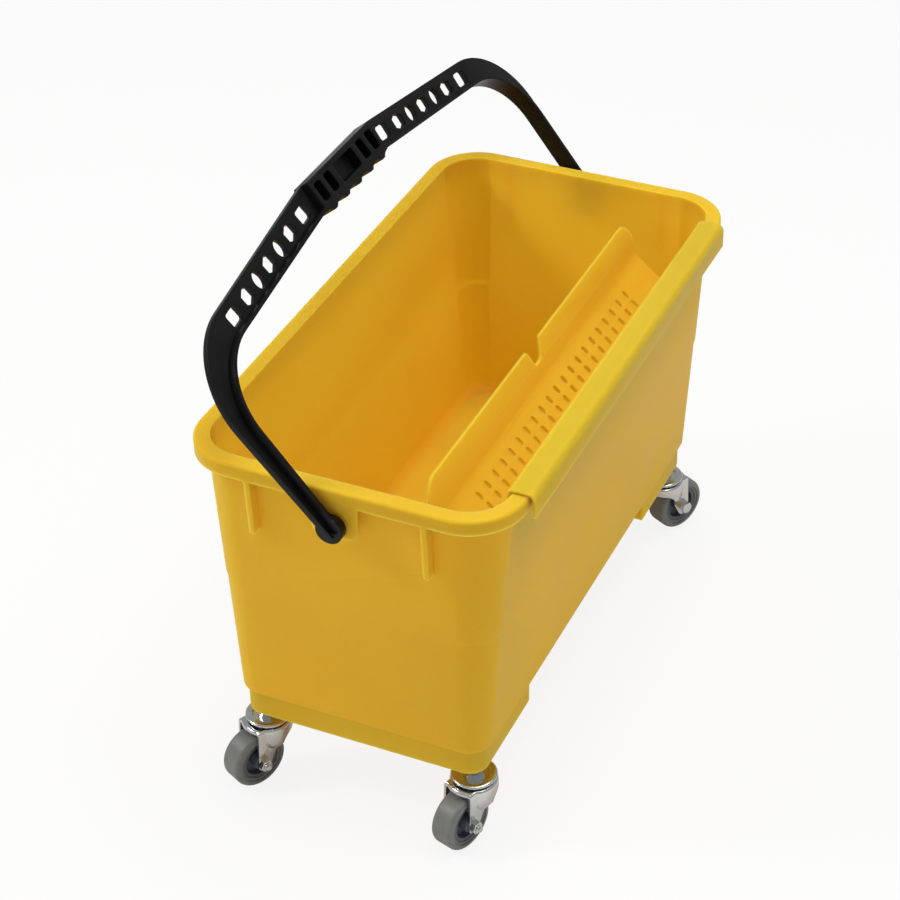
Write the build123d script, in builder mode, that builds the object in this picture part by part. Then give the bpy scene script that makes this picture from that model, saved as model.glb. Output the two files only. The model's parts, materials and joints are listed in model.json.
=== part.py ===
from build123d import *
import os
from math import atan2, cos, degrees, radians, sin

os.makedirs("parts", exist_ok=True)

# A squeegee bucket on four swivel castors, with a hooked-in sieve and a swinging handle.
# Millimetres. +Z is up, X runs along the bucket, and the floor is at Z = 0.
# The front end is at -X, the left side at +Y, and the sieve hangs on the right rim.

# Fits
fit_clearance = 0.05
running_clearance = 0.1

# Castor wheels
wheel_radius = 25.0
tyre_width = 20.5
tyre_shoulder = 3.5
tyre_bead_width = 18.4
tyre_bead_radius = 20.0
hub_radius = 17.5
hub_rim_width = 17.0
hub_rim_sheet = 3.5
hub_web_sheet = 6.0
hub_boss_radius = 7.0
hub_side_gap = 0.3
sleeve_sheet = 1.5

# Castor axles
axle_radius = 3.0
hex_across_flats = 10.0
head_height = 4.0
nut_height = 5.0
bolt_end = 3.0
bolt_chamfer = 0.8

# Castor forks
trail = 17.5
fork_gap = 24.0
fork_sheet = 2.0
fork_lead = 5.0
fork_tail = 5.5
fork_toe = 7.0
leg_round = 4.0
cup_radius = 19.7
cup_lift = 7.0
cup_flare = 10.0
crown_lead = 0.9
visor_reach = 2.4
fold_round = 2.5
visor_gap = 4.5
crown_gap = 6.2
knee_reach = 3.5
knee_drop = 9.7
knee_round = 14.0
skirt_drop = 6.7

# Castor bearings and stems
ball_radius = 1.5
ball_gap = 0.15
ball_ring_radius = 12.5
ball_count = 16
race_gap = 2.0
race_sheet = 1.3
race_radius = 19.0
race_roll_width = 3.6
race_roll_rise = 1.7
race_roll_round = 1.4
race_roll_gap = 2.0
king_radius = 5.0
rivet_radius = 6.2
rivet_height = 1.5
washer_radius = 8.0
washer_sheet = 0.9
collar_radius = 8.8
collar_height = 2.7
shoulder_radius = 7.5
shoulder_height = 10.9
thread_length = 15.0
thread_chamfer = 1.0

# Castor places, with the direction in which each wheel trails, in degrees
stem_end_inset = 21.5
stem_side_inset = 17.5
castors = {
    "front_left": (-1, 1, 153.7),
    "front_right": (-1, -1, 162.8),
    "rear_left": (1, 1, -20.0),
    "rear_right": (1, -1, -27.5),
}

# Bucket body
wall = 3.0
floor_sheet = 3.2
wall_height = 245.4
base_length = 480.0
base_width = 220.0
base_corner = 20.5
lower_round = 5.0
floor_round = 10.0
step_height = 118.0
step_out = 0.8
rim_length = 518.0
rim_width = 271.0
rim_corner = 46.0
rim_overhang = 10.0
rim_sheet = 3.0
rim_round = 2.5
rim_drop = 12.5
rib_spread = 145.0
rib_sheet = 4.5
rib_height = 51.0
rib_draft = 3.5

# Hollow feet under the body
foot_height = 22.0
foot_inset = 4.5
foot_gap = 264.0
foot_gap_place = -3.0
boss_radius = 10.0
boss_rib = 2.5
insert_radius = 6.5
insert_length = 16.0
foot_seat = 1.5

# Handle pivots
pivot_drop = 30.8
tab_width = 38.0
tab_sheet = 3.5
tab_drop = 30.0
tab_round = 8.0
stud_radius = 6.0
stud_slot = 2.4
snap_radius = 7.2
snap_sheet = 2.4
snap_gap = 0.3
disc_radius = 11.0
disc_sheet = 7.6
disc_gap = 2.0
recess_width = 8.4
recess_run = 14.0
recess_depth = 2.4

# Handle, in its own plane: across, and out from the pivots
handle_lean = 38.7
plate_setback = 4.5
plate_sheet = 5.0
flange_setback = 8.0
flange_depth = 15.5
flange_sheet = 3.0
arm_clearance = 3.9
arm_width = 7.1
arm_nose = 6.0
arm_splay = 4.4
bend_width = 16.5
inner_corner_reach = 144.4
outer_corner_reach = 166.1
inner_bend = 58.0
outer_bend = 70.0
grip_half = 55.0
grip_inner_reach = 168.9
grip_outer_reach = 196.0
finger_pitch = 21.7
finger_count = 6
finger_depth = 3.4
finger_radius = 12.6
finger_reach = 164.8
pocket_height = 17.0
pocket_reach = 183.0
pocket_depth = 9.5
pocket_round = 2.5
middle_pocket = 33.0
side_pocket = 10.5
side_pocket_pitch = 16.5
pocket_rib = 7.0
first_hex = 98.6
hole_pitch = 20.7
hole_drop = 0.9
hole_count = 5
square_gap = 25.6
square_width = 16.0
square_height = 12.5
square_round = 2.5
hex_width = 14.5
hex_height = 15.5
oval_width = 12.5
oval_height = 15.5

# Sieve, hooked over the right rim
sieve_sheet = 2.5
lip_length = 421.0
lip_gap = 0.4
lip_skirt_gap = 3.5
lip_drop = 21.0
lip_outer_round = 6.0
lip_inner_round = 5.0
sieve_wall_gap = 1.5
trough_depth = 64.0
trough_width = 26.0
trough_fall = 1.0
trough_round = 7.0
leg_curl = 12.0
strip_run = 25.5
strip_rise = 20.5
strip_round = 14.0
partition_lean = 10.0
partition_rise = 32.0
partition_length = 432.0
partition_corner = 20.0
strip_length = 420.0
notch_width = 28.0
notch_floor = 12.0
notch_depth = 17.0
notch_round = 4.0
notch_place = -2.0
drain_columns = 21
drain_pitch = 15.75
drain_rows = 2
drain_row_pitch = 11.0
drain_offset = -2.4
drain_length = 8.0
drain_width = 4.6

# Heights worked out from the floor up
crown_under = 2 * wheel_radius + crown_gap
crown_top = crown_under + fork_sheet
race_under = crown_top + race_gap
race_top = race_under + race_sheet
collar_top = race_top + collar_height
foot_bottom = collar_top + shoulder_height
floor_under = foot_bottom + foot_height
floor_top = floor_under + floor_sheet
step_level = floor_under + step_height
rim_top = floor_under + wall_height
rim_under = rim_top - rim_drop
pivot_height = rim_top - pivot_drop
ball_height = (crown_top + race_under) / 2

# Plan sizes worked out from the rim inwards
top_length = rim_length - 2 * rim_overhang
top_width = rim_width - 2 * rim_overhang
top_corner = rim_corner - rim_overhang
foot_length = base_length - 2 * foot_inset
foot_width = base_width - 2 * foot_inset
foot_corner = base_corner - foot_inset
stem_x = base_length / 2 - stem_end_inset
stem_y = base_width / 2 - stem_side_inset
fork_width = fork_gap + 2 * fork_sheet
sleeve_radius = axle_radius + fit_clearance + sleeve_sheet


def save(builder, node):
    """Label a finished piece and write it to its own file."""
    builder.part.label = node
    export_step(builder.part, f"parts/{node}.step")


def wall_share(height):
    """How far up the tapered wall a height lies, from 0 at its foot to 1 at the rim."""
    return (height - floor_under) / wall_height


def wall_plan(height, inset):
    """Length, width and corner radius of the tapered wall at a height, drawn in by an inset."""
    share = wall_share(height)
    length = base_length + share * (top_length - base_length)
    width = base_width + share * (top_width - base_width)
    corner = base_corner + share * (top_corner - base_corner)
    return length - 2 * inset, width - 2 * inset, corner - inset


def turned_band(inner, outer, bottom, top):
    """One rectangle of a turned section: radii across, heights up."""
    with Locations(((inner + outer) / 2, (bottom + top) / 2)):
        Rectangle(outer - inner, top - bottom)


def wheel_band(width, inner, outer):
    """One rectangle of a wheel's section: the axle across, radii up."""
    with Locations((0, (inner + outer) / 2)):
        Rectangle(width, outer - inner)


# Bucket body: tapered wall, rim with its skirt, handle tabs, end ribs and two hollow feet
with BuildPart() as bucket_body:
    # Outside of the wall below and above the faint step, as solids
    for low, high, inset in ((floor_under, step_level, step_out), (step_level, rim_top, 0)):
        for height in (low, high):
            with BuildSketch(Plane.XY.offset(height)):
                RectangleRounded(*wall_plan(height, inset))
        loft(ruled=True)
        if low == floor_under:
            fillet(faces().sort_by(Axis.Z)[0].edges(), lower_round)

    # Flat rim and the skirt that hangs from its edge
    with BuildSketch(Plane.XY.offset(rim_top - rim_sheet)):
        RectangleRounded(rim_length, rim_width, rim_corner)
    extrude(amount=rim_sheet)
    with BuildSketch(Plane.XY.offset(rim_under)):
        RectangleRounded(rim_length, rim_width, rim_corner)
        offset(amount=-rim_sheet, mode=Mode.SUBTRACT)
    extrude(amount=rim_drop - rim_sheet)
    fillet(faces().sort_by(Axis.Z)[-1].edges(), rim_round)

    for end in (-1, 1):
        # Tab that carries one pivot, flush with the skirt
        with BuildSketch(Plane.YZ.offset(end * rim_length / 2)):
            with Locations((0, rim_top - rim_sheet)):
                Rectangle(tab_width, rim_drop - rim_sheet + tab_drop, align=(Align.CENTER, Align.MAX))
            fillet(vertices().group_by(Axis.Y)[0], tab_round)
        extrude(amount=-end * tab_sheet)

        # Two ribs that stand on the end wall under the skirt
        for side in (-1, 1):
            rib_foot = rim_under - rib_height
            with BuildSketch(Plane.XZ.offset(side * rib_spread / 2)):
                with BuildLine():
                    Polyline(
                        (end * rim_length / 2, rim_under),
                        (end * rim_length / 2, rim_top - rim_sheet),
                        (end * wall_plan(rim_top, wall / 2)[0] / 2, rim_top - rim_sheet),
                        (end * wall_plan(rib_foot, wall / 2)[0] / 2, rib_foot),
                        (end * (rim_length / 2 - rib_draft), rib_foot),
                        close=True,
                    )
                make_face()
            extrude(amount=rib_sheet / 2, both=True)

    # Feet, open below, with a gap between the front and the rear one
    with BuildSketch(Plane.XY.offset(foot_bottom)):
        RectangleRounded(foot_length, foot_width, foot_corner)
        with Locations((foot_gap_place, 0)):
            Rectangle(foot_gap, foot_width, mode=Mode.SUBTRACT)
    extrude(amount=foot_height + foot_seat)
    with BuildSketch(Plane.XY.offset(foot_bottom)):
        RectangleRounded(foot_length - 2 * wall, foot_width - 2 * wall, foot_corner - wall)
        with Locations((foot_gap_place, 0)):
            Rectangle(foot_gap + 2 * wall, foot_width, mode=Mode.SUBTRACT)
    extrude(amount=foot_height, mode=Mode.SUBTRACT)

    # Bosses for the castor inserts, ribbed to the foot's walls
    with BuildSketch(Plane.XY.offset(foot_bottom)):
        with GridLocations(2 * stem_x, 2 * stem_y, 2, 2):
            Circle(boss_radius)
            Rectangle(foot_length - 2 * stem_x - wall, boss_rib)
            Rectangle(boss_rib, foot_width - 2 * stem_y - wall)
    extrude(amount=foot_height + foot_seat)
    with BuildSketch(Plane.XY.offset(foot_bottom)):
        with GridLocations(2 * stem_x, 2 * stem_y, 2, 2):
            Circle(insert_radius + fit_clearance)
    extrude(amount=insert_length, mode=Mode.SUBTRACT)

    # Inside of the bucket
    for low, high, inset in ((floor_top, step_level, step_out), (step_level, rim_top, 0)):
        for height in (low, high):
            with BuildSketch(Plane.XY.offset(height)):
                RectangleRounded(*wall_plan(height, inset + wall))
        loft(ruled=True, mode=Mode.SUBTRACT)
    floor_face = faces().filter_by(Axis.Z).sort_by_distance((0, 0, floor_top))[0]
    fillet(floor_face.edges(), floor_round)

    # Pivot holes through both tabs
    for end in (-1, 1):
        with BuildSketch(Plane.YZ.offset(end * (rim_length / 2 - tab_sheet))):
            with Locations((0, pivot_height)):
                Circle(stud_radius + running_clearance)
        extrude(amount=end * tab_sheet, mode=Mode.SUBTRACT)
save(bucket_body, "bucket_body")


# Threaded inserts moulded into the four bosses
with BuildPart() as castor_inserts:
    with BuildSketch(Plane.XY.offset(foot_bottom)):
        with GridLocations(2 * stem_x, 2 * stem_y, 2, 2):
            Circle(insert_radius)
            Circle(king_radius + fit_clearance, mode=Mode.SUBTRACT)
    extrude(amount=insert_length)
save(castor_inserts, "castor_inserts")


# Sieve: lip over the rim, leg down the wall, trough, drained strip and partition
lip_top = rim_top + lip_gap + sieve_sheet
lip_face = -(rim_width / 2 + lip_skirt_gap + sieve_sheet)
trough_level = rim_top - trough_depth
leg_inset = wall + sieve_wall_gap + sieve_sheet
leg_head = -wall_plan(rim_top, leg_inset)[1] / 2
leg_foot = -wall_plan(trough_level, leg_inset)[1] / 2
strip_foot = leg_foot + trough_width
strip_foot_level = trough_level - trough_fall
strip_head = strip_foot + strip_run
strip_head_level = strip_foot_level + strip_rise
strip_middle_level = strip_foot_level + strip_rise / 2
partition_top = strip_head_level + partition_rise
curl_end = (leg_foot + leg_curl, trough_level - trough_fall * leg_curl / trough_width)
strip_plane = Plane(
    origin=(0, strip_foot + strip_run / 2, strip_middle_level),
    x_dir=(1, 0, 0),
    z_dir=(0, -strip_rise, strip_run),
)

with BuildPart() as sieve:
    # Trough, strip and partition, then trimmed to their outline as seen from the left
    with BuildSketch(Plane.YZ):
        with BuildLine():
            FilletPolyline(
                curl_end,
                (strip_foot, strip_foot_level),
                (strip_head, strip_head_level),
                (strip_head + partition_lean, partition_top),
                radius=strip_round,
            )
            offset(amount=sieve_sheet, side=Side.RIGHT)
        make_face()
    extrude(amount=partition_length / 2, both=True)
    with BuildSketch(Plane.XZ):
        with BuildLine():
            FilletPolyline(
                (-strip_length / 2, strip_foot_level - strip_rise),
                (strip_length / 2, strip_foot_level - strip_rise),
                (strip_length / 2, strip_middle_level),
                (partition_length / 2, partition_top),
                (notch_place + notch_width / 2, partition_top),
                (notch_place + notch_floor / 2, partition_top - notch_depth),
                (notch_place - notch_floor / 2, partition_top - notch_depth),
                (notch_place - notch_width / 2, partition_top),
                (-partition_length / 2, partition_top),
                (-strip_length / 2, strip_middle_level),
                radius=(0, 0, 0, partition_corner) + 4 * (notch_round,) + (partition_corner, 0),
                close=True,
            )
        make_face()
    extrude(amount=rim_width, mode=Mode.INTERSECT)

    # Lip and leg, longer than the trough
    with BuildSketch(Plane.YZ):
        with BuildLine():
            FilletPolyline(
                (lip_face, lip_top - lip_drop),
                (lip_face, lip_top),
                (leg_head, lip_top),
                (leg_foot, trough_level),
                curl_end,
                radius=(lip_outer_round, lip_inner_round, trough_round),
            )
            offset(amount=sieve_sheet, side=Side.RIGHT)
        make_face()
    extrude(amount=lip_length / 2, both=True)

    # Two rows of drain slots through the strip
    with BuildSketch(strip_plane):
        with Locations((0, drain_offset)):
            with GridLocations(drain_pitch, drain_row_pitch, drain_columns, drain_rows):
                SlotOverall(drain_length, drain_width, rotation=90)
    extrude(amount=2 * sieve_sheet, both=True, mode=Mode.SUBTRACT)
save(sieve, "sieve")


# Handle: one moulding, a flat bail with a deep inner flange, a ribbed grip and snap-in pivots
lean = radians(handle_lean)
along_arm = (0, sin(lean), cos(lean))
handle_middle = Plane(origin=(0, 0, pivot_height), x_dir=(1, 0, 0), z_dir=(0, -cos(lean), sin(lean)))
plate_back = handle_middle.offset(-plate_setback)
plate_front = plate_sheet - plate_setback
flange_back = handle_middle.offset(-flange_setback)
grip_front = flange_back.offset(flange_depth)
arm_inner = rim_length / 2 + arm_clearance
arm_outer = arm_inner + arm_width
inner_corner = (arm_inner + arm_splay, inner_corner_reach)
outer_corner = (inner_corner[0] + bend_width, outer_corner_reach)
disc_face = rim_length / 2 + disc_gap
snap_face = rim_length / 2 - tab_sheet - snap_gap


def bail_face():
    """The handle's outline in its own plane, without the finger grips."""
    with BuildSketch() as outline:
        with BuildLine():
            half = FilletPolyline(
                (0, grip_outer_reach),
                (grip_half, grip_outer_reach),
                outer_corner,
                (arm_outer, -arm_nose),
                (arm_inner, -arm_nose),
                inner_corner,
                (grip_half, grip_inner_reach),
                (0, grip_inner_reach),
                radius=(0, outer_bend, 0, 0, inner_bend, 0),
            )
            Line(half @ 1, half @ 0)
        make_face()
        mirror(about=Plane.YZ)
    return outline.sketch


def inner_flange_face():
    """The flange along the bail's inner edge, from each pivot to the grip."""
    with BuildSketch() as strip:
        with BuildLine():
            FilletPolyline(
                (arm_inner, -arm_nose),
                inner_corner,
                (grip_half, grip_inner_reach),
                (grip_half - flange_sheet, grip_inner_reach),
                radius=(inner_bend, 0),
            )
            offset(amount=flange_sheet, side=Side.RIGHT)
        make_face()
        mirror(about=Plane.YZ)
    return strip.sketch


def band_place(across):
    """Place of an opening at a distance from the grip's centre, turned along the bail's band."""
    start = (grip_half, (grip_inner_reach + grip_outer_reach) / 2)
    end = ((inner_corner[0] + outer_corner[0]) / 2, (inner_corner_reach + outer_corner_reach) / 2)
    slope = (end[1] - start[1]) / (end[0] - start[0])
    reach = start[1] + slope * (abs(across) - start[0]) - hole_drop
    turn = degrees(atan2(slope, 1)) * (1 if across > 0 else -1)
    return Location((across, reach, 0), (0, 0, turn))


hex_columns = [first_hex + column * hole_pitch for column in range(hole_count)]
square_columns = (hex_columns[0] - square_gap, hex_columns[-1] + square_gap)

with BuildPart() as handle:
    # Flat plate, and the flange that stands out from it on both sides
    with BuildSketch(plate_back):
        add(bail_face())
    extrude(amount=plate_sheet)
    with BuildSketch(flange_back):
        add(inner_flange_face())
    extrude(amount=flange_depth)

    # Solid grip with finger hollows below and pockets in its front
    with BuildSketch(flange_back):
        with Locations((0, finger_reach)):
            Rectangle(2 * grip_half, grip_outer_reach - finger_reach, align=(Align.CENTER, Align.MIN))
        with Locations((0, finger_reach + finger_depth - finger_radius)):
            with GridLocations(finger_pitch, finger_pitch, finger_count, 1):
                Circle(finger_radius, mode=Mode.SUBTRACT)
    extrude(amount=flange_depth)
    with BuildSketch(grip_front):
        with Locations((0, pocket_reach)):
            RectangleRounded(middle_pocket, pocket_height, pocket_round)
        first_pocket = middle_pocket / 2 + pocket_rib + side_pocket / 2
        for across in (first_pocket, first_pocket + side_pocket_pitch):
            with Locations((across, pocket_reach), (-across, pocket_reach)):
                RectangleRounded(side_pocket, pocket_height, pocket_round)
    extrude(amount=-pocket_depth, mode=Mode.SUBTRACT)

    # Row of openings through the plate on both sides of the grip
    with BuildSketch(plate_back):
        for side in (-1, 1):
            for column, across in enumerate(hex_columns):
                with Locations(band_place(side * across)):
                    if column % 2:
                        Ellipse(oval_width / 2, oval_height / 2)
                    else:
                        Polygon(
                            (0, hex_height / 2),
                            (-hex_width / 2, hex_height / 4),
                            (-hex_width / 2, -hex_height / 4),
                            (0, -hex_height / 2),
                            (hex_width / 2, -hex_height / 4),
                            (hex_width / 2, hex_height / 4),
                        )
            for across in square_columns:
                with Locations(band_place(side * across)):
                    RectangleRounded(square_width, square_height, square_round)
    extrude(amount=plate_sheet, mode=Mode.SUBTRACT)

    # Pivot discs with a recess that runs out along the arm, and studs that snap into the tabs
    for end in (-1, 1):
        with BuildSketch(Plane.YZ.offset(end * disc_face)):
            with Locations((0, pivot_height)):
                Circle(disc_radius)
        extrude(amount=end * disc_sheet)
        disc_outer = end * (disc_face + disc_sheet)
        with BuildSketch(Plane((disc_outer, 0, pivot_height), x_dir=along_arm, z_dir=(end, 0, 0))):
            with Locations((recess_run / 2, end * (plate_front + recess_width / 2))):
                SlotCenterToCenter(recess_run, recess_width)
        extrude(amount=-recess_depth, mode=Mode.SUBTRACT)
        with BuildSketch(Plane.YZ.offset(end * (snap_face - snap_sheet))):
            with Locations((0, pivot_height)):
                Circle(stud_radius)
        extrude(amount=end * (disc_face + disc_sheet / 2 - snap_face + snap_sheet))
        with BuildSketch(Plane.YZ.offset(end * (snap_face - snap_sheet))):
            with Locations((0, pivot_height)):
                Circle(snap_radius)
        extrude(amount=end * snap_sheet)
        with BuildSketch(Plane.YZ.offset(end * (snap_face - snap_sheet))):
            with Locations((0, pivot_height)):
                Rectangle(2 * snap_radius, stud_slot)
        extrude(amount=end * (snap_sheet + snap_gap + tab_sheet), mode=Mode.SUBTRACT)
save(handle, "handle")


class CastorFrame:
    """Planes and axes of one castor: forward along its trail, across along its axle."""

    def __init__(self, side_x, side_y, trail_angle):
        turn = radians(trail_angle)
        forward = Vector(cos(turn), sin(turn), 0)
        across = Vector(-sin(turn), cos(turn), 0)
        king = Vector(side_x * stem_x, side_y * stem_y, 0)
        hub = king + forward * trail + Vector(0, 0, wheel_radius)
        self.plan = Plane(origin=king, x_dir=forward, z_dir=(0, 0, 1))
        self.side = Plane(origin=king, x_dir=forward, z_dir=across * -1)
        self.wheel_section = Plane(origin=hub, x_dir=across, z_dir=forward)
        self.axle_end = Plane(origin=hub, x_dir=forward, z_dir=across)
        self.king_axis = Axis(king, (0, 0, 1))
        self.axle_axis = Axis(hub, across)


def cup_section(sheet, top):
    """Half section of the fork's cup, drawn in by a sheet thickness: radii across, heights up."""
    with BuildSketch() as section:
        with BuildLine():
            Polyline(
                (0, cup_bottom),
                (fork_width / 2 - sheet, cup_bottom),
                (cup_radius - sheet, cup_rise),
                (cup_radius - sheet, top),
                (0, top),
                close=True,
            )
        make_face()
    return section.sketch


fork_front = trail + fork_lead
crown_front = cup_radius + crown_lead
visor_radius = crown_front + visor_reach
cup_bottom = wheel_radius + cup_lift
cup_rise = cup_bottom + cup_flare
leg_bottom = wheel_radius - fork_toe
visor_bottom = 2 * wheel_radius + visor_gap
washer_top = crown_under - running_clearance
washer_under = washer_top - washer_sheet
rivet_under = washer_under - rivet_height
king_bore = king_radius + fit_clearance
bolt_start = -fork_width / 2 - head_height
bolt_stop = fork_width / 2 + nut_height + bolt_end

for corner, place in castors.items():
    frame = CastorFrame(*place)

    # Stem: riveted end, neck through the bearing, collar, shoulder and thread
    with BuildPart() as stem:
        with BuildSketch(frame.side):
            turned_band(0, rivet_radius, rivet_under, washer_under)
            turned_band(0, king_radius, washer_under, race_top)
            turned_band(0, collar_radius, race_top, collar_top)
            turned_band(0, shoulder_radius, collar_top, foot_bottom)
            turned_band(0, king_radius, foot_bottom, foot_bottom + thread_length)
        revolve(axis=frame.king_axis)
        chamfer(faces().sort_by(Axis.Z)[-1].edges(), thread_chamfer)
    save(stem, f"{corner}_stem")

    # Top race: a plate under the collar, with a rolled edge and a groove for the balls
    with BuildPart() as top_race:
        with BuildSketch(frame.side):
            roll_middle = race_radius - race_roll_width / 2
            roll_bottom = crown_top + race_roll_gap
            roll_top = race_top + race_roll_rise
            turned_band(king_bore, roll_middle, race_under, race_top)
            with Locations((roll_middle, (roll_bottom + roll_top) / 2)):
                RectangleRounded(race_roll_width, roll_top - roll_bottom, race_roll_round)
            with Locations((ball_ring_radius, ball_height)):
                Circle(ball_radius + ball_gap, mode=Mode.SUBTRACT)
        revolve(axis=frame.king_axis)
    save(top_race, f"{corner}_top_race")

    # Ring of balls between the race and the fork
    with BuildPart(frame.plan.offset(ball_height)) as balls:
        with PolarLocations(ball_ring_radius, ball_count):
            Sphere(ball_radius)
    save(balls, f"{corner}_balls")

    # Washer that the riveted end of the stem holds under the fork
    with BuildPart() as washer:
        with BuildSketch(frame.side):
            turned_band(king_bore, washer_radius, washer_under, washer_top)
        revolve(axis=frame.king_axis)
    save(washer, f"{corner}_king_washer")

    # Fork: a cup pressed round the king pin, drawn out into two flat legs and a visor over the wheel
    with BuildPart() as fork:
        with BuildSketch(frame.side):
            add(cup_section(0, crown_top))
        revolve(axis=frame.king_axis)
        with BuildSketch(frame.plan.offset(leg_bottom)):
            Rectangle(fork_front, fork_width, align=(Align.MIN, Align.CENTER))
        extrude(amount=visor_bottom - leg_bottom)
        with BuildSketch(frame.plan.offset(visor_bottom)):
            Circle(visor_radius)
            Rectangle(visor_radius, fork_gap, align=(Align.MIN, Align.CENTER), mode=Mode.INTERSECT)
            Circle(cup_radius)
            Rectangle(crown_front, fork_width, align=(Align.MIN, Align.CENTER))
        extrude(amount=crown_top - visor_bottom)
        fillet(faces().sort_by(Axis.Z)[-1].edges(), fold_round)

        # Inside of the pressed sheet
        with BuildSketch(frame.side):
            add(cup_section(fork_sheet, crown_under))
        revolve(axis=frame.king_axis, mode=Mode.SUBTRACT)
        with BuildSketch(frame.plan.offset(leg_bottom)):
            Rectangle(fork_front, fork_gap, align=(Align.MIN, Align.CENTER))
        extrude(amount=visor_bottom - leg_bottom, mode=Mode.SUBTRACT)
        with BuildSketch(frame.plan.offset(visor_bottom)):
            Circle(visor_radius - fork_sheet)
            Rectangle(visor_radius, fork_gap, align=(Align.MIN, Align.CENTER), mode=Mode.INTERSECT)
        extrude(amount=crown_under - visor_bottom, mode=Mode.SUBTRACT)

        # Cut to its side view
        with BuildSketch(frame.side):
            with BuildLine():
                FilletPolyline(
                    (visor_radius, crown_top),
                    (visor_radius, visor_bottom),
                    (crown_front, visor_bottom),
                    (fork_front, leg_bottom),
                    (trail - fork_tail, leg_bottom),
                    (-knee_reach, crown_top - knee_drop),
                    (-cup_radius, crown_top - skirt_drop),
                    (-cup_radius, crown_top),
                    radius=(0, 0, leg_round, leg_round, knee_round, 0),
                )
                Line((-cup_radius, crown_top), (visor_radius, crown_top))
            make_face()
        extrude(amount=cup_radius, both=True, mode=Mode.INTERSECT)

        # King bore, ball track and axle holes
        with BuildSketch(frame.plan.offset(crown_under)):
            Circle(king_radius + running_clearance)
        extrude(amount=fork_sheet, mode=Mode.SUBTRACT)
        with BuildSketch(frame.side):
            with Locations((ball_ring_radius, ball_height)):
                Circle(ball_radius + ball_gap)
        revolve(axis=frame.king_axis, mode=Mode.SUBTRACT)
        with BuildSketch(frame.axle_end):
            Circle(axle_radius + fit_clearance)
        extrude(amount=fork_width / 2, both=True, mode=Mode.SUBTRACT)
    save(fork, f"{corner}_fork")

    # Axle bolt, with its head on one side of the fork
    with BuildPart() as axle_bolt:
        with BuildSketch(frame.axle_end.offset(bolt_start)):
            RegularPolygon(hex_across_flats / 2, 6, major_radius=False)
        extrude(amount=head_height)
        with BuildSketch(frame.axle_end.offset(bolt_start)):
            Circle(axle_radius)
        extrude(amount=bolt_stop - bolt_start)
        chamfer(faces().sort_by(frame.axle_axis)[-1].edges(), bolt_chamfer)
    save(axle_bolt, f"{corner}_axle_bolt")

    # Axle nut on the other side
    with BuildPart() as axle_nut:
        with BuildSketch(frame.axle_end.offset(fork_width / 2)):
            RegularPolygon(hex_across_flats / 2, 6, major_radius=False)
            Circle(axle_radius + fit_clearance, mode=Mode.SUBTRACT)
        extrude(amount=nut_height)
    save(axle_nut, f"{corner}_axle_nut")

    # Sleeve that the bolt clamps between the fork's legs, and that the hub turns on
    with BuildPart() as axle_sleeve:
        with BuildSketch(frame.wheel_section):
            wheel_band(fork_gap, axle_radius + fit_clearance, sleeve_radius)
        revolve(axis=frame.axle_axis)
    save(axle_sleeve, f"{corner}_axle_sleeve")

    # Wheel hub: rim, web and boss
    with BuildPart() as wheel_hub:
        with BuildSketch(frame.wheel_section):
            wheel_band(hub_rim_width, hub_radius - hub_rim_sheet, hub_radius)
            wheel_band(hub_web_sheet, hub_boss_radius, hub_radius - hub_rim_sheet)
            wheel_band(fork_gap - 2 * hub_side_gap, sleeve_radius + running_clearance, hub_boss_radius)
        revolve(axis=frame.axle_axis)
    save(wheel_hub, f"{corner}_wheel_hub")

    # Tyre, narrower at the bead where it sits on the hub
    with BuildPart() as tyre:
        with BuildSketch(frame.wheel_section):
            wheel_band(tyre_width, tyre_bead_radius, wheel_radius)
            fillet(vertices().group_by(Axis.Y)[-1], tyre_shoulder)
            wheel_band(tyre_bead_width, hub_radius + fit_clearance, tyre_bead_radius)
        revolve(axis=frame.axle_axis)
    save(tyre, f"{corner}_tyre")
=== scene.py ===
import json
from math import radians

import bpy
from mathutils import Matrix, Vector


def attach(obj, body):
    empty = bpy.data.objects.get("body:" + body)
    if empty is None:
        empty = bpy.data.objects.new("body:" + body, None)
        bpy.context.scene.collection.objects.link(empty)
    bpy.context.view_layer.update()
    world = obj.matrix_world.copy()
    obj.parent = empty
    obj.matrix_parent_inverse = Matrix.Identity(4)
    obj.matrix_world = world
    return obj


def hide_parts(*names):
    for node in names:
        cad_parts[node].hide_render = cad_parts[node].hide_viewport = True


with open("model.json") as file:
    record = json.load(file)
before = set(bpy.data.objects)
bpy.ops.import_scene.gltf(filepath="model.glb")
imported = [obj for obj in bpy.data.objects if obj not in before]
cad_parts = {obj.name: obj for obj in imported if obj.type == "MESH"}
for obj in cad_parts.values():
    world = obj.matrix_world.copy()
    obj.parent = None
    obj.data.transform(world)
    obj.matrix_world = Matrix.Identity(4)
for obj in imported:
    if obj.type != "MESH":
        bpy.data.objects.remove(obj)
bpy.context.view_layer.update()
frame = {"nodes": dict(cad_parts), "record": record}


# Bucket body
# One injection moulding in yellow polypropylene: a tapered tub with a turned-down rim,
# pivot tabs, end ribs and hollow feet. The rounds that show are the CAD's own; the edges that
# are sharp there are only just broken, as far as the narrowest face beside them allows.
def linear(code):
    """Linear colour of an sRGB hex value."""
    channels = [int(code[place:place + 2], 16) / 255 for place in (1, 3, 5)]
    return [c / 12.92 if c <= 0.04045 else ((c + 0.055) / 1.055) ** 2.4 for c in channels] + [1]


def add_node(material, kind, settings, links):
    """Adds a node to a material: settings fill its properties and sockets, links feed its sockets."""
    node = material.node_tree.nodes.new(kind)
    for name, value in settings.items():
        if isinstance(name, int) or name in node.inputs:
            node.inputs[name].default_value = value
        else:
            setattr(node, name, value)
    for name, source in links.items():
        material.node_tree.links.new(source, node.inputs[name])
    return node


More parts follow.
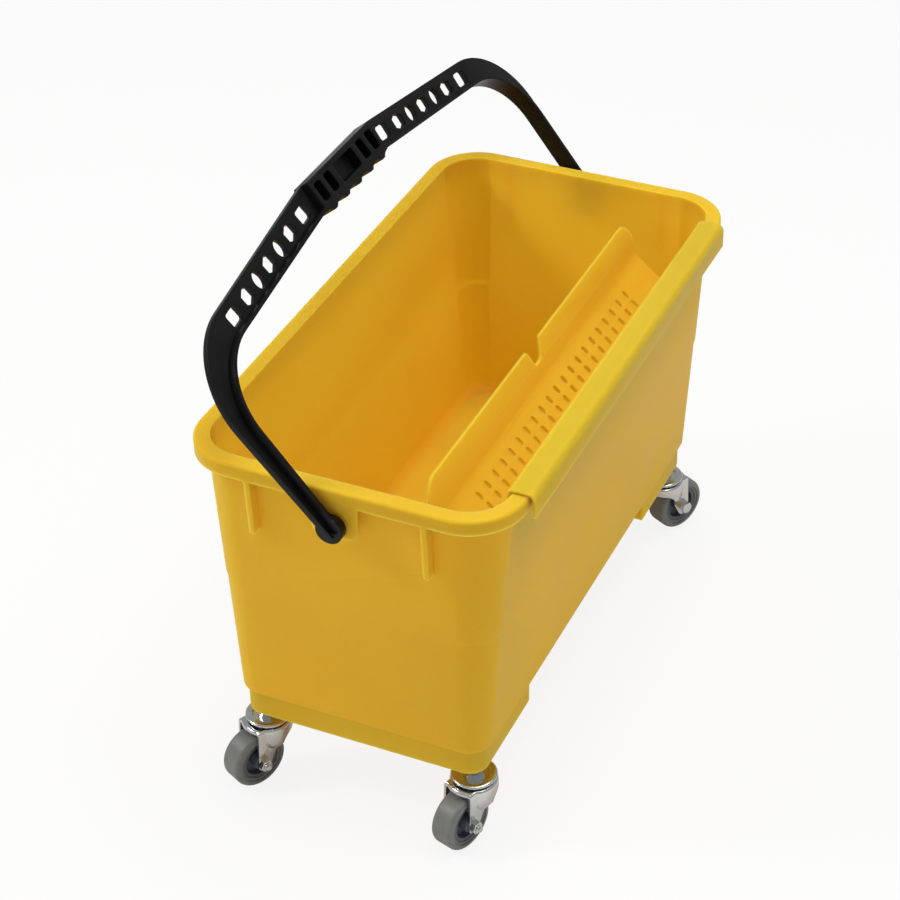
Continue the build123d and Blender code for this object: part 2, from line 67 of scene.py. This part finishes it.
def select_only(piece):
    """Selects one piece alone and makes it the active one."""
    bpy.ops.object.select_all(action="DESELECT")
    piece.select_set(True)
    bpy.context.view_layer.objects.active = piece


def coat(piece, material):
    """Gives a piece one material in place of any that it has."""
    piece.data.materials.clear()
    piece.data.materials.append(material)


def clean(piece):
    """Removes faces without area from a piece."""
    no_width = 1e-8
    select_only(piece)
    bpy.ops.object.mode_set(mode="EDIT")
    bpy.ops.mesh.select_all(action="SELECT")
    bpy.ops.mesh.dissolve_degenerate(threshold=no_width)
    bpy.ops.object.mode_set(mode="OBJECT")


def softened(node, body, edge_round=0, steps=0, reshape=None, spared=None):
    """A copy of a CAD piece, reshaped if need be, its sharp edges broken but for the spared ones."""
    weld = 2e-6
    flat_angle = radians(0.4)
    sharp_angle = radians(38)
    piece = bpy.data.objects.new(f"{node}_softened", frame["nodes"][node].data.copy())
    bpy.context.scene.collection.objects.link(piece)
    select_only(piece)
    bpy.ops.object.mode_set(mode="EDIT")
    bpy.ops.mesh.select_all(action="SELECT")
    bpy.ops.mesh.customdata_custom_splitnormals_clear()
    bpy.ops.mesh.remove_doubles(threshold=weld)
    bpy.ops.object.mode_set(mode="OBJECT")
    if reshape:
        reshape(piece.data)
    bpy.ops.object.mode_set(mode="EDIT")
    bpy.ops.mesh.dissolve_limited(angle_limit=flat_angle)
    bpy.ops.object.mode_set(mode="OBJECT")
    if edge_round:
        bevel = piece.modifiers.new("edge_round", "BEVEL")
        bevel.width = edge_round
        bevel.segments = steps
        bevel.limit_method = "ANGLE"
        bevel.angle_limit = sharp_angle
        if spared:
            bpy.ops.object.mode_set(mode="EDIT")
            bpy.ops.mesh.select_mode(type="EDGE")
            bpy.ops.mesh.select_all(action="DESELECT")
            bpy.ops.mesh.edges_select_sharp(sharpness=sharp_angle)
            bpy.ops.mesh.select_mode(type="VERT")
            bpy.ops.object.mode_set(mode="OBJECT")
            bevel.limit_method = "WEIGHT"
            weights = piece.data.attributes.new("bevel_weight_edge", "FLOAT", "EDGE").data
            for edge in piece.data.edges:
                start, end = (piece.data.vertices[place].co for place in edge.vertices)
                weights[edge.index].value = edge.select and not spared((start + end) / 2)
        bpy.ops.object.modifier_apply(modifier="edge_round")
        clean(piece)
    bpy.ops.object.shade_smooth_by_angle(angle=sharp_angle)
    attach(piece, body)
    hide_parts(node)
    return piece


# Polypropylene, dyed in the mass and moulded: a satin skin that lets a little light in,
# clouded where the dye has flowed, with a fine grain and walls that are never quite flat.
yellow_plastic = bpy.data.materials.new("moulded_yellow_polypropylene")
yellow_plastic.use_nodes = True
place = add_node(yellow_plastic, "ShaderNodeTexCoord", {}, {}).outputs["Object"]
dye_patch = 0.085
grain_size = 0.0009
scuff_width = 0.0012
wall_wave = 0.11
clouds = add_node(
    yellow_plastic, "ShaderNodeTexNoise", {"Scale": 1 / dye_patch, "Detail": 3.0}, {"Vector": place},
)
dye = add_node(
    yellow_plastic, "ShaderNodeMix", {"data_type": "RGBA", 6: linear("#E6B32E"), 7: linear("#EDBC36")},
    {0: clouds.outputs["Fac"]},
)
upright = add_node(yellow_plastic, "ShaderNodeMapping", {"Scale": (1, 1, 0.04)}, {"Vector": place})
scuffs = add_node(
    yellow_plastic, "ShaderNodeTexNoise", {"Scale": 1 / scuff_width, "Detail": 2.0},
    {"Vector": upright.outputs["Vector"]},
)
scuffed = add_node(
    yellow_plastic, "ShaderNodeMapRange",
    {"From Min": 0.62, "From Max": 0.8, "To Min": 0.0, "To Max": 0.12},
    {"Value": scuffs.outputs["Fac"]},
)
worn = add_node(
    yellow_plastic, "ShaderNodeMix", {"data_type": "RGBA", 7: linear("#EFC95A")},
    {0: scuffed.outputs["Result"], 6: dye.outputs[2]},
)
sheen_patch = add_node(
    yellow_plastic, "ShaderNodeMapRange",
    {"From Min": 0.3, "From Max": 0.7, "To Min": 0.36, "To Max": 0.48},
    {"Value": clouds.outputs["Fac"]},
)
grain = add_node(
    yellow_plastic, "ShaderNodeTexNoise", {"Scale": 1 / grain_size, "Detail": 2.0}, {"Vector": place},
)
skin = add_node(
    yellow_plastic, "ShaderNodeBump", {"Strength": 0.12, "Distance": 0.0002},
    {"Height": grain.outputs["Fac"]},
)
waves = add_node(
    yellow_plastic, "ShaderNodeTexNoise", {"Scale": 1 / wall_wave, "Detail": 1.0}, {"Vector": place},
)
wavy = add_node(
    yellow_plastic, "ShaderNodeBump", {"Strength": 0.5, "Distance": 0.004},
    {"Height": waves.outputs["Fac"], "Normal": skin.outputs["Normal"]},
)
surface = yellow_plastic.node_tree.nodes["Principled BSDF"]
surface.inputs["IOR"].default_value = 1.49
surface.inputs["Specular IOR Level"].default_value = 0.045
surface.inputs["Subsurface Weight"].default_value = 1.0
surface.inputs["Subsurface Radius"].default_value = (1.0, 0.9, 0.3)
surface.inputs["Subsurface Scale"].default_value = 0.0115
yellow_plastic.node_tree.links.new(worn.outputs[2], surface.inputs["Base Color"])
yellow_plastic.node_tree.links.new(sheen_patch.outputs["Result"], surface.inputs["Roughness"])
yellow_plastic.node_tree.links.new(wavy.outputs["Normal"], surface.inputs["Normal"])


def eased_step(mesh):
    """Draws the small step in the walls out into a slope, by parting the walls above and below it."""
    step_level = 0.2151
    ease = 0.0007
    touch = 1e-5
    shifts = {}
    for edge in mesh.edges:
        low, high = sorted((mesh.vertices[end] for end in edge.vertices), key=lambda point: point.co.z)
        if high.co.z - low.co.z > ease:
            if abs(low.co.z - step_level) < touch:
                shifts[low.index] = ease
            if abs(high.co.z - step_level) < touch:
                shifts[high.index] = -ease
    for place, shift in shifts.items():
        mesh.vertices[place].co.z += shift


bucket = softened(
    "bucket_body", "bucket", edge_round=0.0006, steps=2, reshape=eased_step,
)
coat(bucket, yellow_plastic)


# Sieve
# A second yellow moulding that hooks over the right rim: a trough with two rows of drain
# slots and a partition with a thumb notch. The rims of the slots are left sharp.
def on_strip(point):
    """Whether a point lies on the strip with the drain slots."""
    half_length = 0.175
    right_edge = -0.113
    left_edge = -0.063
    return abs(point.x) < half_length and right_edge < point.y < left_edge


sieve = softened("sieve", "sieve", edge_round=0.0006, steps=2, spared=on_strip)
coat(sieve, yellow_plastic)


# Handle
# A black polypropylene bail: a pierced flat plate with a deep flange along its inner edge and
# a thick grip with finger dents, moulded in one and snapped into the two pivot tabs.
# Black polypropylene, spark-eroded mould: a dark satin skin, greyer where it is rubbed.
black_plastic = bpy.data.materials.new("moulded_black_polypropylene")
black_plastic.use_nodes = True
place = add_node(black_plastic, "ShaderNodeTexCoord", {}, {}).outputs["Object"]
rub_patch = 0.03
pit_size = 0.0011
rubs = add_node(
    black_plastic, "ShaderNodeTexNoise", {"Scale": 1 / rub_patch, "Detail": 4.0}, {"Vector": place},
)
rubbed = add_node(
    black_plastic, "ShaderNodeMix", {"data_type": "RGBA", 6: linear("#060607"), 7: linear("#101112")},
    {0: rubs.outputs["Fac"]},
)
gloss = add_node(
    black_plastic, "ShaderNodeMapRange",
    {"From Min": 0.3, "From Max": 0.7, "To Min": 0.3, "To Max": 0.44},
    {"Value": rubs.outputs["Fac"]},
)
pits = add_node(
    black_plastic, "ShaderNodeTexNoise", {"Scale": 1 / pit_size, "Detail": 2.0}, {"Vector": place},
)
pitted = add_node(
    black_plastic, "ShaderNodeBump", {"Strength": 0.2, "Distance": 0.0002},
    {"Height": pits.outputs["Fac"]},
)
surface = black_plastic.node_tree.nodes["Principled BSDF"]
surface.inputs["IOR"].default_value = 1.49
surface.inputs["Specular IOR Level"].default_value = 0.22
black_plastic.node_tree.links.new(rubbed.outputs[2], surface.inputs["Base Color"])
black_plastic.node_tree.links.new(gloss.outputs["Result"], surface.inputs["Roughness"])
black_plastic.node_tree.links.new(pitted.outputs["Normal"], surface.inputs["Normal"])

handle = softened("handle", "handle", edge_round=0.0010, steps=3)
coat(handle, black_plastic)


# Castor metalwork
# Stems, races, balls and forks are turned or pressed from mild steel and bright zinc plated,
# which gives a silvery mirror, faintly blue, softened by press marks and handling.
bright_zinc = bpy.data.materials.new("bright_zinc_plated_steel")
bright_zinc.use_nodes = True
place = add_node(bright_zinc, "ShaderNodeTexCoord", {}, {}).outputs["Object"]
tint_patch = 0.012
press_mark = 0.006
tints = add_node(
    bright_zinc, "ShaderNodeTexNoise", {"Scale": 1 / tint_patch, "Detail": 3.0}, {"Vector": place},
)
tinted = add_node(
    bright_zinc, "ShaderNodeMix", {"data_type": "RGBA", 6: linear("#C8CCD0"), 7: linear("#DEDEDA")},
    {0: tints.outputs["Fac"]},
)
brightness = add_node(
    bright_zinc, "ShaderNodeMapRange",
    {"From Min": 0.3, "From Max": 0.7, "To Min": 0.12, "To Max": 0.26},
    {"Value": tints.outputs["Fac"]},
)
marks = add_node(
    bright_zinc, "ShaderNodeTexNoise", {"Scale": 1 / press_mark, "Detail": 2.0}, {"Vector": place},
)
marked = add_node(
    bright_zinc, "ShaderNodeBump", {"Strength": 0.15, "Distance": 0.0006},
    {"Height": marks.outputs["Fac"]},
)
surface = bright_zinc.node_tree.nodes["Principled BSDF"]
surface.inputs["Metallic"].default_value = 1.0
bright_zinc.node_tree.links.new(tinted.outputs[2], surface.inputs["Base Color"])
bright_zinc.node_tree.links.new(brightness.outputs["Result"], surface.inputs["Roughness"])
bright_zinc.node_tree.links.new(marked.outputs["Normal"], surface.inputs["Normal"])

corners = ("front_left", "front_right", "rear_left", "rear_right")

# The rolled edge of each race swells into a broad round bead on its upper side.
bead_outer = 0.0190
bead_inner = 0.0154
bead_rise = 0.0017
bead_stretch = 1.8


def beaded(mesh):
    """Draws the upper side of a race's rolled edge inwards, towards the king pin in the middle."""
    touch = 1e-5
    lows, highs = (
        Vector([pick(point.co[way] for point in mesh.vertices) for way in range(3)])
        for pick in (min, max)
    )
    king = (lows + highs) / 2
    for point in mesh.vertices:
        arm = (point.co - king) * Vector((1, 1, 0))
        if arm.length > bead_inner - touch and point.co.z > highs.z - bead_rise - touch:
            reach = bead_outer - bead_stretch * (bead_outer - arm.length)
            point.co += arm * (reach / arm.length - 1)


for corner in corners:
    for metal in ("stem", "balls", "king_washer", "axle_sleeve"):
        coat(frame["nodes"][f"{corner}_{metal}"], bright_zinc)
    fork = softened(f"{corner}_fork", f"{corner}_castor", edge_round=0.0005, steps=2)
    race = softened(f"{corner}_top_race", "bucket", reshape=beaded)
    for pressing in (fork, race):
        coat(pressing, bright_zinc)


# Axle bolts and nuts
# Cold-headed hexagon bolts and nuts with a 6 mm thread, zinc plated like the forks. The bolt
# clamps the sleeve between the fork's legs and stands three threads proud of the nut.
leg_face = 0.014
across_flats = 0.010
corner_radius = across_flats / 3 ** 0.5
turned_radius = 0.48 * across_flats
head_height = 0.004
nut_height = 0.005
bolt_radius = 0.003
thread_pitch = 0.001
thread_turns = 3
turn_steps = 24
tooth = 0.0004
end_chamfer = 0.0004
chamfer_slope = 3 ** 0.5
cone_sides = 48
rod_sides = 32
fastener_angle = radians(35)


def hexagon(height):
    """A hexagon on the floor of its own frame, its upper corners turned off to a cone."""
    bpy.ops.object.select_all(action="DESELECT")
    bpy.ops.mesh.primitive_cylinder_add(
        vertices=6, radius=corner_radius, depth=height, location=(0, 0, height / 2)
    )
    bpy.ops.object.transform_apply()
    block = bpy.context.object
    bpy.ops.mesh.primitive_cone_add(
        vertices=cone_sides, radius1=turned_radius + height * chamfer_slope, radius2=turned_radius,
        depth=height, location=(0, 0, height / 2),
    )
    cone = bpy.context.object
    block.modifiers.new("turned", "BOOLEAN").object = cone
    block.modifiers["turned"].operation = "INTERSECT"
    bpy.context.view_layer.objects.active = block
    bpy.ops.object.modifier_apply(modifier="turned")
    bpy.data.objects.remove(cone)
    clean(block)
    return block


def rod(radius, low, high):
    """A round rod from one height to another, with its upper rim chamfered."""
    bpy.ops.object.select_all(action="DESELECT")
    bpy.ops.mesh.primitive_cylinder_add(
        vertices=rod_sides, radius=radius, depth=high - low, location=(0, 0, (low + high) / 2)
    )
    bpy.ops.object.transform_apply()
    piece = bpy.context.object
    bpy.ops.object.mode_set(mode="EDIT")
    bpy.ops.mesh.select_all(action="DESELECT")
    bpy.ops.object.mode_set(mode="OBJECT")
    for corner_point in piece.data.vertices:
        corner_point.select = corner_point.co.z > high - end_chamfer
    bpy.ops.object.mode_set(mode="EDIT")
    bpy.ops.mesh.bevel(offset=end_chamfer, segments=1)
    bpy.ops.object.mode_set(mode="OBJECT")
    return piece


nut = hexagon(nut_height)
hole = rod(bolt_radius, -nut_height, 2 * nut_height)
nut.modifiers.new("bore", "BOOLEAN").object = hole
bpy.context.view_layer.objects.active = nut
bpy.ops.object.modifier_apply(modifier="bore")
bpy.data.objects.remove(hole)
nut.data.transform(Matrix.Translation((0, 0, leg_face)))

bolt_stop = leg_face + nut_height + thread_turns * thread_pitch
head = hexagon(head_height)
head.data.transform(Matrix.Translation((0, 0, -leg_face)) @ Matrix.Rotation(radians(180), 4, "X"))
shank = rod(bolt_radius - tooth, -leg_face - head_height / 2, bolt_stop)
bpy.ops.object.select_all(action="DESELECT")
bpy.ops.mesh.primitive_circle_add(
    vertices=3, radius=tooth, location=(bolt_radius - tooth, 0, leg_face + thread_pitch),
    rotation=(radians(90), radians(90), 0),
)
bpy.ops.object.transform_apply()
thread = bpy.context.object
helix = thread.modifiers.new("helix", "SCREW")
helix.screw_offset = thread_pitch
helix.iterations = round((bolt_stop - leg_face - thread_pitch) / thread_pitch) - 1
helix.steps = helix.render_steps = turn_steps
bpy.ops.object.modifier_apply(modifier="helix")
bpy.ops.object.mode_set(mode="EDIT")
bpy.ops.mesh.select_all(action="SELECT")
bpy.ops.mesh.fill_holes(sides=3)
bpy.ops.mesh.normals_make_consistent(inside=False)
bpy.ops.object.mode_set(mode="OBJECT")
bpy.ops.object.select_all(action="DESELECT")
for piece in (thread, shank, head):
    piece.select_set(True)
bpy.context.view_layer.objects.active = head
bpy.ops.object.join()

joints = {joint["name"]: joint for joint in frame["record"]["behaviour"]["joints"]}
for corner in corners:
    roll = joints[f"{corner}_roll"]
    across = Vector(roll["axis"]).normalized()
    up = Vector((0, 0, 1))
    turned = Matrix((up, across.cross(up), across)).transposed().to_4x4()
    for part, master in (("axle_bolt", head), ("axle_nut", nut)):
        fastener = bpy.data.objects.new(f"{corner}_{part}_cut", master.data.copy())
        bpy.context.scene.collection.objects.link(fastener)
        fastener.data.transform(Matrix.Translation(roll["pos_m"]) @ turned)
        coat(fastener, bright_zinc)
        select_only(fastener)
        bpy.ops.object.shade_smooth_by_angle(angle=fastener_angle)
        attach(fastener, f"{corner}_castor")
        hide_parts(f"{corner}_{part}")
for master in (head, nut):
    bpy.data.objects.remove(master)


# Castor wheels
# A grey polypropylene hub with a tyre of grey thermoplastic rubber moulded round it.
# Rubber of this kind is matt and slightly mottled, with a dull shine on its shoulders.
grey_rubber = bpy.data.materials.new("moulded_grey_rubber")
grey_rubber.use_nodes = True
place = add_node(grey_rubber, "ShaderNodeTexCoord", {}, {}).outputs["Object"]
mottle_size = 0.008
pore_size = 0.0008
mottle = add_node(
    grey_rubber, "ShaderNodeTexNoise", {"Scale": 1 / mottle_size, "Detail": 4.0}, {"Vector": place},
)
mottled = add_node(
    grey_rubber, "ShaderNodeMix", {"data_type": "RGBA", 6: linear("#70736F"), 7: linear("#838581")},
    {0: mottle.outputs["Fac"]},
)
pores = add_node(
    grey_rubber, "ShaderNodeTexNoise", {"Scale": 1 / pore_size, "Detail": 2.0}, {"Vector": place},
)
porous = add_node(
    grey_rubber, "ShaderNodeBump", {"Strength": 0.2, "Distance": 0.0002},
    {"Height": pores.outputs["Fac"]},
)
surface = grey_rubber.node_tree.nodes["Principled BSDF"]
surface.inputs["IOR"].default_value = 1.52
surface.inputs["Roughness"].default_value = 0.42
grey_rubber.node_tree.links.new(mottled.outputs[2], surface.inputs["Base Color"])
grey_rubber.node_tree.links.new(porous.outputs["Normal"], surface.inputs["Normal"])

# Hub plastic: the same polypropylene family in a bluish grey, faintly streaked.
hub_plastic = bpy.data.materials.new("moulded_grey_polypropylene")
hub_plastic.use_nodes = True
place = add_node(hub_plastic, "ShaderNodeTexCoord", {}, {}).outputs["Object"]
hub_patch = 0.01
streaks = add_node(
    hub_plastic, "ShaderNodeTexNoise", {"Scale": 1 / hub_patch, "Detail": 3.0}, {"Vector": place},
)
streaked = add_node(
    hub_plastic, "ShaderNodeMix", {"data_type": "RGBA", 6: linear("#50545F"), 7: linear("#626773")},
    {0: streaks.outputs["Fac"]},
)
surface = hub_plastic.node_tree.nodes["Principled BSDF"]
surface.inputs["IOR"].default_value = 1.49
surface.inputs["Roughness"].default_value = 0.45
hub_plastic.node_tree.links.new(streaked.outputs[2], surface.inputs["Base Color"])

for corner in corners:
    for part, material in (("tyre", grey_rubber), ("wheel_hub", hub_plastic)):
        coat(frame["nodes"][f"{corner}_{part}"], material)


# Threaded inserts
# Turned brass bushes moulded into the four bosses, where the castor stems screw in.
# Plain machined brass, dulled a little by the moulding heat.
plain_brass = bpy.data.materials.new("machined_brass")
plain_brass.use_nodes = True
place = add_node(plain_brass, "ShaderNodeTexCoord", {}, {}).outputs["Object"]
stain_size = 0.004
stains = add_node(
    plain_brass, "ShaderNodeTexNoise", {"Scale": 1 / stain_size, "Detail": 3.0}, {"Vector": place},
)
stained = add_node(
    plain_brass, "ShaderNodeMix", {"data_type": "RGBA", 6: linear("#9C7A3C"), 7: linear("#C79F57")},
    {0: stains.outputs["Fac"]},
)
surface = plain_brass.node_tree.nodes["Principled BSDF"]
surface.inputs["Metallic"].default_value = 1.0
surface.inputs["Roughness"].default_value = 0.35
plain_brass.node_tree.links.new(stained.outputs[2], surface.inputs["Base Color"])
coat(frame["nodes"]["castor_inserts"], plain_brass)


# Studio
# A pale floor that turns white to the eye, but keeps the soft shadow under the bucket,
# a bright room all round, one lamp high on the left and a broad one over the bucket's mouth.
floor_size = 14
floor_white = 0.86
bpy.ops.object.select_all(action="DESELECT")
bpy.ops.mesh.primitive_plane_add(size=floor_size, location=(0, 0, 0))
floor = bpy.context.object
floor.name = "studio_floor"
pale_floor = bpy.data.materials.new("pale_floor")
pale_floor.use_nodes = True
seen = add_node(pale_floor, "ShaderNodeLightPath", {}, {})
white_share = add_node(
    pale_floor, "ShaderNodeMath", {"operation": "MULTIPLY", 1: floor_white},
    {0: seen.outputs["Is Camera Ray"]},
)
glow = add_node(pale_floor, "ShaderNodeEmission", {"Color": linear("#FFFFFF"), "Strength": 1.0}, {})
surface = pale_floor.node_tree.nodes["Principled BSDF"]
surface.inputs["Base Color"].default_value = linear("#F3F3F1")
surface.inputs["Roughness"].default_value = 0.7
surface.inputs["Specular IOR Level"].default_value = 0.0
shown = add_node(
    pale_floor, "ShaderNodeMixShader", {},
    {0: white_share.outputs[0], 1: surface.outputs["BSDF"], 2: glow.outputs["Emission"]},
)
floor_output = pale_floor.node_tree.nodes["Material Output"]
pale_floor.node_tree.links.new(shown.outputs[0], floor_output.inputs["Surface"])
coat(floor, pale_floor)

room = bpy.data.worlds.new("bright_room")
room.use_nodes = True
room_light = 0.38
seen = add_node(room, "ShaderNodeLightPath", {}, {})
strength = add_node(
    room, "ShaderNodeMath", {"operation": "MULTIPLY_ADD", 1: 1 - room_light, 2: room_light},
    {0: seen.outputs["Is Camera Ray"]},
)
backdrop = room.node_tree.nodes["Background"]
backdrop.inputs["Color"].default_value = linear("#FFFFFF")
room.node_tree.links.new(strength.outputs[0], backdrop.inputs["Strength"])
bpy.context.scene.world = room
bpy.context.scene.view_settings.view_transform = "Standard"

lamp_aim = Vector((0, 0, 0.2))
for name, stand, size, energy in (
    ("key_lamp", (-1.0, 1.9, 2.0), 0.6, 24),
    ("top_lamp", (0.1, -0.4, 2.4), 1.4, 30),
):
    bpy.ops.object.light_add(type="AREA", location=stand)
    lamp = bpy.context.object
    lamp.name = name
    lamp.data.size = size
    lamp.data.energy = energy
    lamp.rotation_euler = (lamp_aim - lamp.location).to_track_quat("-Z", "Y").to_euler()

# Camera: a short telephoto, standing before the front right corner and looking down
camera_stand = (-1.5378, -0.6838, 1.4115)
camera_heading = radians(-65.30)
camera_dip = radians(35.54)
camera_roll = radians(-1.147)
bpy.ops.object.camera_add()
camera = bpy.context.object
camera.data.sensor_width = 36
camera.data.lens = 98.2
camera.matrix_world = (
    Matrix.Translation(camera_stand)
    @ Matrix.Rotation(camera_heading, 4, "Z")
    @ Matrix.Rotation(radians(90) - camera_dip, 4, "X")
    @ Matrix.Rotation(camera_roll, 4, "Z")
)
bpy.context.scene.camera = camera
